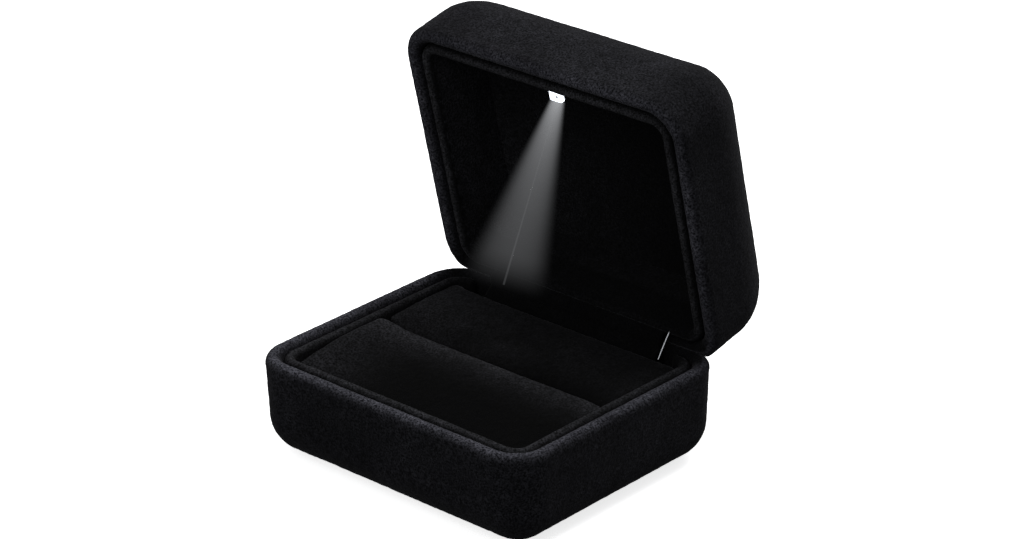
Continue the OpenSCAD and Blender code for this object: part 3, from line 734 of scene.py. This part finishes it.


# %% [markdown]
# ### Flocked velvet
# Velvet looks black face on and pale at its edges, because its fibres stand up and catch the light from the side.
# The sheen layer does a little of that. The rest is painted highlight, with painted shade where the cloth lies in
# shadow, and it is multiplied into the colour from a number on each piece's points. Three sizes of noise give the
# cloth its own uneven tone: fibres and tufts, drawn coarser than real ones so that they show, and broad patches
# where the nap was stroked another way. The lining is the same cloth made darker and less glossy, as painted shade
# for the inside of the box.

# %% Velvet
def velvet(name, dark, light, sheen):
    """Flocked velvet: dark cloth with light fibre tips, fewer of them where the nap lies away. Bump from the
    fibres and tufts gives each its lit and its shaded side. The colour is then multiplied by one more than the
    painted highlight and shade stored on the points."""
    material, tree, shader = finish(
        name, Roughness=1.0, Specular_IOR_Level=0.08, Sheen_Weight=sheen, Sheen_Roughness=0.4,
        Sheen_Tint=linear("#f0eef2"))
    place = add(tree, "TexCoord").outputs["Object"]
    fibres = add(tree, "TexNoise", {"Vector": place}, Scale=1 / (0.33 * MM), Detail=2.0, Roughness=0.6)
    tufts = add(tree, "TexNoise", {"Vector": place}, Scale=1 / (1.5 * MM), Detail=3.0, Roughness=0.6)
    stroked = add(tree, "TexNoise", {"Vector": place}, Scale=1 / (14 * MM), Detail=2.0, Distortion=0.6)
    tips = add(tree, "MapRange", {"Value": fibres.outputs["Fac"]}, From_Min=0.37, From_Max=0.66)
    clumps = add(tree, "MapRange", {"Value": tufts.outputs["Fac"]}, From_Min=0.3, From_Max=0.7, To_Min=0.5)
    patches = add(
        tree, "MapRange", {"Value": stroked.outputs["Fac"]}, From_Min=0.3, From_Max=0.7, To_Min=0.5)
    lit_tips = add(tree, "Math", {0: tips.outputs[0], 1: clumps.outputs[0]}, operation="MULTIPLY")
    tone = add(tree, "Math", {0: lit_tips.outputs[0], 1: patches.outputs[0]}, operation="MULTIPLY")
    colour = add(tree, "Mix", {"Factor": tone.outputs[0]}, data_type="RGBA")
    colour.inputs["A"].default_value = linear(dark)
    colour.inputs["B"].default_value = linear(light)
    height = add(tree, "Math", {0: fibres.outputs["Fac"], 1: tufts.outputs["Fac"]}, operation="MULTIPLY")
    bump = add(tree, "Bump", {"Height": height.outputs[0]}, Strength=0.7, Distance=0.3 * MM)
    # Painted highlight and shade: the colour is scaled by one more than the number each piece stores on its
    # points.
    drawn = add(tree, "Attribute", attribute_name="drawn")
    share = add(tree, "Math", {0: drawn.outputs["Fac"]}, operation="ADD")
    share.inputs[1].default_value = 1.0
    colour_with_painted_light = add(
        tree, "VectorMath", {0: colour.outputs["Result"], "Scale": share.outputs[0]}, operation="SCALE")
    tree.links.new(colour_with_painted_light.outputs[0], shader.inputs["Base Color"])
    tree.links.new(bump.outputs[0], shader.inputs["Normal"])
    return material


outer_velvet = velvet("flocked velvet, outside", "#030304", "#28282c", 0.03)
# The inside pieces get a darker, less glossy copy of the velvet: painted shade for the hollow of the box.
shaded_inside_velvet = velvet("flocked velvet, lining, darkened as painted shade", "#020202", "#18181a", 0.012)

# %% [markdown]
# ### Painted highlight and shade on the velvet
# The velvet's colour is painted lighter over the rims, along the slot and towards the left, as painted highlight,
# and darker in other places, such as the back and the hinge strip, as painted shade. Each velvet piece keeps that
# as a number on its points, 0 for plain cloth, and the finish multiplies its colour by one more than the number.
# The amounts are chosen for the main view, which is why the left differs from the right; they aren't measured from
# cloth.

# %% Painted highlight and shade
# How far the painted highlight reaches below a rim and over the wall, where the painted shade at the back begins
# and how deep it goes, and how dark the painted shade is.
crest_reach = 1.2 * MM
wall_amount, wall_reach = 0.35, 3 * MM
shelter_from, shelter_over, shelter_depth = 17 * MM, 4 * MM, 7 * MM
painted_shade_strength = 0.7


def point_normals(piece):
    """A piece's vertex normals as an array."""
    normals = np.zeros(len(piece.data.vertices) * 3, np.float32)
    piece.data.vertex_normals.foreach_get("vector", normals)
    return normals.reshape(-1, 3).astype(float)


def keep_drawn(piece, values):
    """Stores the painted highlight and shade on a piece's points."""
    attribute = piece.data.attributes.new("drawn", "FLOAT", "POINT")
    attribute.data.foreach_set("value", np.asarray(values, np.float32))


def over_rim(piece, rim, side, most, angle=0.0, left=0.0):
    """Painted highlight, most over a rim, where the cloth faces along side * Z, and a little over the wall next to
    it. A lid piece is turned by its angle first, so that its rim is level. left adds painted light to its left
    wall. At the back the cloth that faces into the box is given painted shade."""
    points = turned(piece_points(piece), angle)
    facing = point_normals(piece)
    level = facing[:, 2] * math.cos(angle) + facing[:, 1] * math.sin(angle)
    below = np.clip(side * (rim - points[:, 2]), 0, None)
    drawn = most * np.clip(side * level, 0, 1) ** 3 * np.exp(-((below / crest_reach) ** 2))
    drawn += wall_amount * np.exp(-below / wall_reach)
    drawn += left * np.clip(-points[:, 0] / half_x, 0, 1) ** 4 * (below > collar_r)
    depth_facing = facing[:, 1] * math.cos(angle) - facing[:, 2] * math.sin(angle)
    outwards = facing[:, 0] * np.sign(points[:, 0]) + depth_facing * np.sign(points[:, 1])
    at_back = np.clip((points[:, 1] - shelter_from) / shelter_over, 0, 1)
    sheltered = at_back * np.clip(1 - 3 * outwards, 0, 1) * (below < shelter_depth)
    keep_drawn(piece, drawn * (1 - sheltered) - painted_shade_strength * sheltered)


# Painted highlights over the rims of the covers and collars, with extra painted light on the left of the lid's
# collar.
over_rim(base_skin, base_top, 1, 3.6)
over_rim(base_collar, base_collar_rim, 1, 3.0)
over_rim(lid_skin, lid_bottom, -1, 3.6, open_angle)
over_rim(lid_collar, lid_collar_rim, -1, 5.0, open_angle, left=6.0)
# The hinge strip is all in painted shade.
keep_drawn(hinge_strip, np.full(len(hinge_strip.data.vertices), -painted_shade_strength))
# The lid's lining: painted light towards its left, painted shade towards its right.
leftwards = np.clip(0.5 - piece_points(lining)[:, 0] / (2 * half_x), 0, 1)
keep_drawn(lining, 3.6 * leftwards**2 - 0.8)

# The front pad: painted highlight along its crest by the slot and towards the left collar, painted shade towards
# its front and right.
places = piece_points(front_pad)
share = np.clip((front_high.y - places[:, 1]) / (front_high.y - front_low.y), 0, 1)
from_left = places[:, 0] + pad_half_x
upwards = np.clip(point_normals(front_pad)[:, 2], 0, 1)
front_crest_highlight = 4.5 * upwards * np.exp(-((share / 0.2) ** 2))
front_left_light = 1.6 * np.exp(-((from_left / (11 * MM)) ** 2))
front_hollow_shade = 0.9 * np.clip(share / 0.5, 0, 1) * np.clip(from_left / (12 * MM), 0, 1)
keep_drawn(front_pad, front_crest_highlight + front_left_light - front_hollow_shade)

# The rear pad: a thin painted highlight along its back edge, painted light towards the left, painted shade down
# into the slot.
places = piece_points(rear_pad)
behind = (places[:, 1].max() - places[:, 1]) / MM
slot_share = np.clip(1 - (places[:, 1] - rear_low.y) / (5 * MM), 0, 1)
from_left = places[:, 0] + pad_half_x
rear_edge_highlight = 9.0 * np.exp(-(((behind - 0.8) / 0.35) ** 2))
rear_left_light = 2.0 * np.exp(-((from_left / (14 * MM)) ** 2))
keep_drawn(rear_pad, rear_edge_highlight + rear_left_light - 0.9 * slot_share)

# %% [markdown]
# ### What the velvet hides
# The shells are moulded polystyrene, which takes a fine grain from its mould. The collars and the lining's
# board are grey pasteboard, pressed from short fibres that show as flecks. The sole is thin card with
# a short flock. The pads are open-cell foam.

# %% Moulded plastic, card and foam
def moulded(name, colour, roughness, grain=0.18 * MM, depth=0.006 * MM):
    """Moulded plastic: one colour, slightly uneven gloss and the fine grain of a spark-eroded mould."""
    material, tree, shader = finish(name, Base_Color=linear(colour), IOR=1.5)
    place = add(tree, "TexCoord").outputs["Object"]
    pits = add(tree, "TexVoronoi", {"Vector": place}, Scale=1 / grain)
    flow = add(tree, "TexNoise", {"Vector": place}, Scale=1 / (6 * MM), Detail=3.0)
    gloss = add(
        tree, "MapRange", {"Value": flow.outputs["Fac"]}, To_Min=roughness - 0.06, To_Max=roughness + 0.06)
    bump = add(tree, "Bump", {"Height": pits.outputs["Distance"]}, Strength=0.6, Distance=depth)
    tree.links.new(gloss.outputs[0], shader.inputs["Roughness"])
    tree.links.new(bump.outputs[0], shader.inputs["Normal"])
    return material


def fibrous(name, dark, light, fibre, depth, roughness=0.95):
    """Card, flock or foam: two tones and a bump from one noise at the size of its fibres or cells."""
    material, tree, shader = finish(name, Roughness=roughness, Specular_IOR_Level=0.2)
    place = add(tree, "TexCoord").outputs["Object"]
    flecks = add(tree, "TexNoise", {"Vector": place}, Scale=1 / fibre, Detail=4.0, Roughness=0.7)
    tone = add(tree, "MapRange", {"Value": flecks.outputs["Fac"]}, From_Min=0.3, From_Max=0.7)
    colour = add(tree, "Mix", {"Factor": tone.outputs[0]}, data_type="RGBA")
    colour.inputs["A"].default_value = linear(dark)
    colour.inputs["B"].default_value = linear(light)
    bump = add(tree, "Bump", {"Height": flecks.outputs["Fac"]}, Strength=0.5, Distance=depth)
    tree.links.new(colour.outputs["Result"], shader.inputs["Base Color"])
    tree.links.new(bump.outputs[0], shader.inputs["Normal"])
    return material


black_polystyrene = moulded("moulded black polystyrene", "#1d1d1f", 0.45)
white_nylon = moulded("moulded white nylon", "#e6e5df", 0.4)
red_pvc = moulded("red PVC insulation", "#b0121a", 0.35, grain=0.3 * MM, depth=0.003 * MM)
black_pvc = moulded("black PVC insulation", "#141414", 0.35, grain=0.3 * MM, depth=0.003 * MM)
lacquer = moulded("tan lacquer on a resistor", "#c9ab78", 0.3, grain=0.4 * MM, depth=0.004 * MM)
pasteboard = fibrous("grey pasteboard", "#8d877c", "#a9a398", 0.35 * MM, 0.03 * MM)
flocked_card = fibrous("black flocked card", "#0d0d0e", "#222224", 0.4 * MM, 0.06 * MM, roughness=1.0)
foam_rubber = fibrous("charcoal open-cell foam", "#2b2b2e", "#4a4a4e", 0.5 * MM, 0.2 * MM)

# %% [markdown]
# ### Metal
# The hinge is mild steel under bright nickel, with faint drawn lines. The springs and the switch wire
# are bare spring steel, the cells are stainless, and the contacts are sheet brass. Each is the same
# recipe with its own colour: noise stretched along one axis makes the lines and varies the gloss.

# %% Metals
def drawn_metal(name, colour, roughness, along, line=0.08 * MM):
    """A metal with fine lines: noise squeezed across them and stretched 25 times along them."""
    material, tree, shader = finish(name, Base_Color=linear(colour), Metallic=1.0)
    place = add(tree, "TexCoord").outputs["Object"]
    stretch = [1 / 25 if axis == along else 1 for axis in "XYZ"]
    squeezed = add(tree, "Mapping", {"Vector": place})
    squeezed.inputs["Scale"].default_value = stretch
    lines = add(tree, "TexNoise", {"Vector": squeezed.outputs[0]}, Scale=1 / line, Detail=2.0)
    gloss = add(
        tree, "MapRange", {"Value": lines.outputs["Fac"]}, To_Min=roughness - 0.08, To_Max=roughness + 0.1)
    bump = add(tree, "Bump", {"Height": lines.outputs["Fac"]}, Strength=0.25, Distance=0.004 * MM)
    tree.links.new(gloss.outputs[0], shader.inputs["Roughness"])
    tree.links.new(bump.outputs[0], shader.inputs["Normal"])
    return material


bright_nickel = drawn_metal("bright nickel on mild steel", "#cfccc4", 0.24, "X")
spring_steel = drawn_metal("drawn spring steel", "#a9abae", 0.3, "Z")
stainless = drawn_metal("stainless cell case", "#c7c9cc", 0.28, "Y", line=0.12 * MM)
sheet_brass = drawn_metal("sheet brass", "#d9b366", 0.3, "X")

# %% [markdown]
# ### Circuit laminate and the lit lens
# Circuit board is woven glass in epoxy under green lacquer, so a faint weave shows through it. The lens
# is clear epoxy over a lit diode. What the eye sees is an even white glow with a cool edge, so it is
# drawn as a glossy solid that gives off light.

# %% Laminate and lens
laminate, tree, shader = finish("green lacquered glass laminate", Roughness=0.3, Coat_Weight=0.3)
place = add(tree, "TexCoord").outputs["Object"]
warp = add(tree, "TexWave", {"Vector": place}, Scale=1 / (1.2 * MM), bands_direction="X")
weft = add(tree, "TexWave", {"Vector": place}, Scale=1 / (1.2 * MM), bands_direction="Y")
weave = add(tree, "Math", {0: warp.outputs["Fac"], 1: weft.outputs["Fac"]}, operation="MULTIPLY")
colour = add(tree, "Mix", {"Factor": weave.outputs[0]}, data_type="RGBA")
colour.inputs["A"].default_value = linear("#0c3d1f")
colour.inputs["B"].default_value = linear("#17603a")
tree.links.new(colour.outputs["Result"], shader.inputs["Base Color"])

lit_epoxy, tree, shader = finish(
    "clear epoxy, lit", Base_Color=linear("#f4f8ff"), Roughness=0.12, IOR=1.53,
    Emission_Color=linear("#eef4ff"))
place = add(tree, "TexCoord").outputs["Object"]
shut_chip = np.array([
    lens_middle[0] + 0.3 * lens_half[0], lens_high[1] - 0.9 * MM, lens_middle[2] - lens_half[2]])
chip = turned(shut_chip[None], -open_angle)[0]
from_chip = add(tree, "VectorMath", {0: place}, operation="DISTANCE")
from_chip.inputs[1].default_value = tuple(chip)
glowing = add(
    tree, "MapRange", {"Value": from_chip.outputs["Value"]}, interpolation_type="SMOOTHSTEP",
    From_Min=0.22 * MM, From_Max=0.42 * MM, To_Min=0.1, To_Max=2.5)
tree.links.new(glowing.outputs[0], shader.inputs["Emission Strength"])

# %% [markdown]
# ## Dressing the pieces
# The imported record says which finish slot each node belongs to. A table from slot to material dresses every hard
# node, and each new soft piece takes its material, hides the plain solids it covers and, for most of them, rides
# on the base or the lid.

# %% Finishes on the imported nodes
finish_of_slot = {
    "velvet": outer_velvet, "shell_plastic": black_polystyrene, "sole_card": flocked_card,
    "grey_card": pasteboard, "foam": foam_rubber, "plated_steel": bright_nickel,
    "spring_steel": spring_steel, "lit_lens": lit_epoxy, "white_plastic": white_nylon,
    "red_insulation": red_pvc, "black_insulation": black_pvc, "circuit_laminate": laminate,
    "resistor_body": lacquer, "cell_case": stainless, "contact_brass": sheet_brass,
}
for subpart in frame["record"]["subparts"]:
    mesh = frame["nodes"][subpart["node"]].data
    mesh.materials.clear()
    mesh.materials.append(finish_of_slot[subpart["material_slot"]])
print("slots dressed", len(finish_of_slot))


# %% New pieces onto the bodies
def dress(piece, material, slot, *nodes):
    """Gives a new piece its material and hides the nodes it stands for. slot is not used."""
    piece.data.materials.append(material)
    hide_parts(*nodes)
    return piece


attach(dress(base_skin, outer_velvet, "velvet", "base_cover"), "base")
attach(dress(lid_skin, outer_velvet, "velvet", "lid_cover"), "lid")
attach(dress(base_collar, shaded_inside_velvet, "velvet", "base_collar_cover"), "base")
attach(dress(lid_collar, shaded_inside_velvet, "velvet", "lid_collar_cover"), "lid")
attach(dress(lining, shaded_inside_velvet, "velvet", "lid_liner"), "lid")
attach(dress(front_pad, shaded_inside_velvet, "velvet", "front_pad_cover", "front_pad_foam"), "base")
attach(dress(rear_pad, shaded_inside_velvet, "velvet", "rear_pad_cover", "rear_pad_foam"), "base")
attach(dress(lens, lit_epoxy, "lit_lens", "led_lens"), "lid")

strip_start, strip_end = (
    (0, hinge_y + flap_r * math.cos(math.radians(a)), hinge_z + flap_r * math.sin(math.radians(a)))
    for a in (base_angle, lid_angle))
dress(hinge_strip, shaded_inside_velvet, "velvet", "hinge_flap")
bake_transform(hinge_strip)
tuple(strip_start)
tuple(strip_end)
dress(switch_wire, spring_steel, "spring_steel", "switch_wire")
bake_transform(switch_wire)

# %% [markdown]
# ## The beam
# With the lid up, the light throws a soft cone towards the ring slot. Air does not glow by itself in a renderer,
# so the cone is a volume that gives off a little light: less with distance from its point, which lies behind the
# lens, and less towards the cone's side. A far narrower and brighter cone runs along its middle. Both ride on the
# lid.

# %% Beam of light
def beam_solid(name, point, direction, skipped, reach, spread):
    """A closed cone with its point cut off: rings that widen by the tangent of the spread from the point,
    which lies behind the start."""
    side = np.cross(direction, [1.0, 0, 0])
    side /= np.linalg.norm(side)
    other = np.cross(direction, side)
    turn = np.linspace(0, 2 * math.pi, 48, endpoint=False)[:, None]
    depth = np.concatenate([[skipped], np.linspace(skipped, skipped + reach, 8), [skipped + reach]])
    width = depth * math.tan(spread)
    width[[0, -1]] = 0
    circle = np.cos(turn) * side + np.sin(turn) * other
    grid = point + depth[:, None, None] * direction + width[:, None, None] * circle[None]
    return grid_piece(name, grid)


lens_tip = turned(np.array([[lens_middle[0], lens_high[1] + 0.1 * MM, lens_middle[2]]]), -open_angle)[0]
slot_point = np.array([-1.5 * MM, front_high.y - MM, front_high.z])
beam_way = (slot_point - lens_tip) / np.linalg.norm(slot_point - lens_tip)
beam_reach = 32.5 * MM
beam_back = 6.5 * MM
beam_spread = math.radians(12.4)
core_spread = math.radians(0.3)
beam_falloff = -2.2
beam_brightness = 0.0029
core_brightness = 80.0
beam_point = lens_tip - beam_back * beam_way
beam = beam_solid("light_beam", beam_point, beam_way, beam_back, beam_reach, beam_spread)

glow = bpy.data.materials.new("lit air")
glow.use_nodes = True
tree = glow.node_tree
tree.nodes.clear()
place = add(tree, "TexCoord").outputs["Object"]
away = add(tree, "VectorMath", {0: place}, operation="SUBTRACT")
away.inputs[1].default_value = tuple(beam_point)
depth = add(tree, "VectorMath", {0: away.outputs[0]}, operation="DOT_PRODUCT")
depth.inputs[1].default_value = tuple(beam_way)
length = add(tree, "VectorMath", {0: away.outputs[0]}, operation="LENGTH")
cosine = add(tree, "Math", {0: depth.outputs["Value"], 1: length.outputs["Value"]}, operation="DIVIDE")
angle = add(tree, "Math", {0: cosine.outputs[0]}, operation="ARCCOSINE")
sideways = add(
    tree, "MapRange", {"Value": angle.outputs[0]}, interpolation_type="SMOOTHSTEP",
    From_Min=0.5 * beam_spread, From_Max=beam_spread, To_Min=1.0, To_Max=0.0)
fading = add(
    tree, "MapRange", {"Value": depth.outputs["Value"]}, interpolation_type="SMOOTHSTEP",
    From_Min=beam_back + 0.78 * beam_reach, From_Max=beam_back + beam_reach, To_Min=1.0, To_Max=0.0)
falloff = add(tree, "Math", {0: depth.outputs["Value"]}, operation="POWER")
falloff.inputs[1].default_value = beam_falloff
shape = add(tree, "Math", {0: sideways.outputs[0], 1: fading.outputs[0]}, operation="MULTIPLY")
strength = add(tree, "Math", {0: shape.outputs[0], 1: falloff.outputs[0]}, operation="MULTIPLY")
scaled = add(tree, "Math", {0: strength.outputs[0]}, operation="MULTIPLY")
scaled.inputs[1].default_value = beam_brightness
lit = add(tree, "Emission", {"Strength": scaled.outputs[0]}, Color=linear("#f2f4f8"))
add(tree, "OutputMaterial", {"Volume": lit.outputs[0]})
beam.data.materials.append(glow)
core = beam_solid("light_beam_core", beam_point, beam_way, beam_back, 0.96 * beam_reach, core_spread)
bright_air = bpy.data.materials.new("lit air, middle")
bright_air.use_nodes = True
tree = bright_air.node_tree
tree.nodes.clear()
lit = add(tree, "Emission", Color=linear("#f2f4f8"), Strength=core_brightness)
add(tree, "OutputMaterial", {"Volume": lit.outputs[0]})
core.data.materials.append(bright_air)
for cone in (beam, core):
    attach(cone, "lid")

# %% [markdown]
# ## Studio
# The box is shown on white. The floor and the sky look white to the camera but light everything else
# less, which real ones don't do, and that keeps the black cloth black. A large soft lamp above and
# behind picks out the rims, a weaker one fills the front, and a faint spot shines from the lens.

# %% Floor, sky and lamps
def seen_and_cast(tree, seen, cast):
    """One shader for what the camera sees and another for the light that reaches everything else."""
    path = add(tree, "LightPath")
    mixed = add(tree, "MixShader", {"Fac": path.outputs["Is Camera Ray"]})
    tree.links.new(cast.outputs[0], mixed.inputs[1])
    tree.links.new(seen.outputs[0], mixed.inputs[2])
    return mixed.outputs[0]


bpy.ops.mesh.primitive_plane_add(size=6)
floor = bpy.context.object
floor.name = "studio_floor"
paper = bpy.data.materials.new("matt white paper")
paper.use_nodes = True
tree = paper.node_tree
tree.nodes.clear()
shaded = add(tree, "BsdfDiffuse", Color=linear("#f4f4f4"))
back_light = add(tree, "Emission", Color=linear("#ffffff"), Strength=0.75)
bright = add(tree, "AddShader", {0: shaded.outputs[0], 1: back_light.outputs[0]})
dim = add(tree, "BsdfDiffuse", Color=linear("#707070"))
add(tree, "OutputMaterial", {"Surface": seen_and_cast(tree, bright, dim)})
floor.data.materials.append(paper)

world = bpy.data.worlds.new("studio sky")
bpy.context.scene.world = world
world.use_nodes = True
tree = world.node_tree
tree.nodes.clear()
white = add(tree, "Background", Color=linear("#ffffff"), Strength=1.0)
sky = add(tree, "Background", Color=linear("#f4f6fa"), Strength=0.4)
add(tree, "OutputWorld", {"Surface": seen_and_cast(tree, white, sky)})


def lamp(name, place, aim, size, power):
    """A square area lamp at a place, turned to an aim."""
    light = bpy.data.lights.new(name, "AREA")
    light.size = size
    light.energy = power
    holder = bpy.data.objects.new(name, light)
    bpy.context.scene.collection.objects.link(holder)
    holder.location = place
    holder.rotation_euler = (Vector(aim) - Vector(place)).to_track_quat("-Z", "Y").to_euler()
    return holder


lamp("overhead lamp", (0.05, 0.15, 0.55), (0, 0, 0.02), 0.45, 3.0)
lamp("front lamp", (0.1, -0.5, 0.45), (0, 0, 0.03), 0.4, 1.2)

spot = bpy.data.lights.new("lens light", "SPOT")
spot.energy = 0.02
spot.spot_size = 2 * beam_spread
spot.spot_blend = 0.8
spot.shadow_soft_size = 1.0 * MM
spot_holder = bpy.data.objects.new("lens light", spot)
bpy.context.scene.collection.objects.link(spot_holder)
spot_holder.location = Vector(lens_tip)
spot_holder.rotation_euler = Vector(beam_way).to_track_quat("-Z", "Y").to_euler()
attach(spot_holder, "lid")

# %% [markdown]
# ## Camera
# The box is seen from its right front corner and from above. A long lens from 0.6 m away keeps its
# edges nearly parallel, as in a catalogue.

# %% Camera
azimuth = math.radians(42.73)
elevation = math.radians(24.69)
roll = math.radians(-0.97)
distance = 610.6 * MM
aim_right, aim_up = 4.26 * MM, 7.62 * MM
lens_length = 132.9

back = Vector((
    math.sin(azimuth) * math.cos(elevation), -math.cos(azimuth) * math.cos(elevation), math.sin(elevation)))
level = Vector((math.cos(azimuth), math.sin(azimuth), 0))
upward = back.cross(level)
right = level * math.cos(roll) + upward * math.sin(roll)
upright = upward * math.cos(roll) - level * math.sin(roll)
camera_data = bpy.data.cameras.new("catalogue camera")
camera_data.lens = lens_length
camera = bpy.data.objects.new("catalogue camera", camera_data)
bpy.context.scene.collection.objects.link(camera)
camera.matrix_world = Matrix((
    (*right, 0), (*upright, 0), (*back, 0), (0, 0, 0, 1))).transposed()
camera.location = Vector((0, 0, 25 * MM)) + right * aim_right + upright * aim_up + back * distance
bpy.context.scene.camera = camera
bpy.context.scene.view_settings.view_transform = "Standard"
print("camera at, mm", [round(x / MM, 1) for x in camera.location])
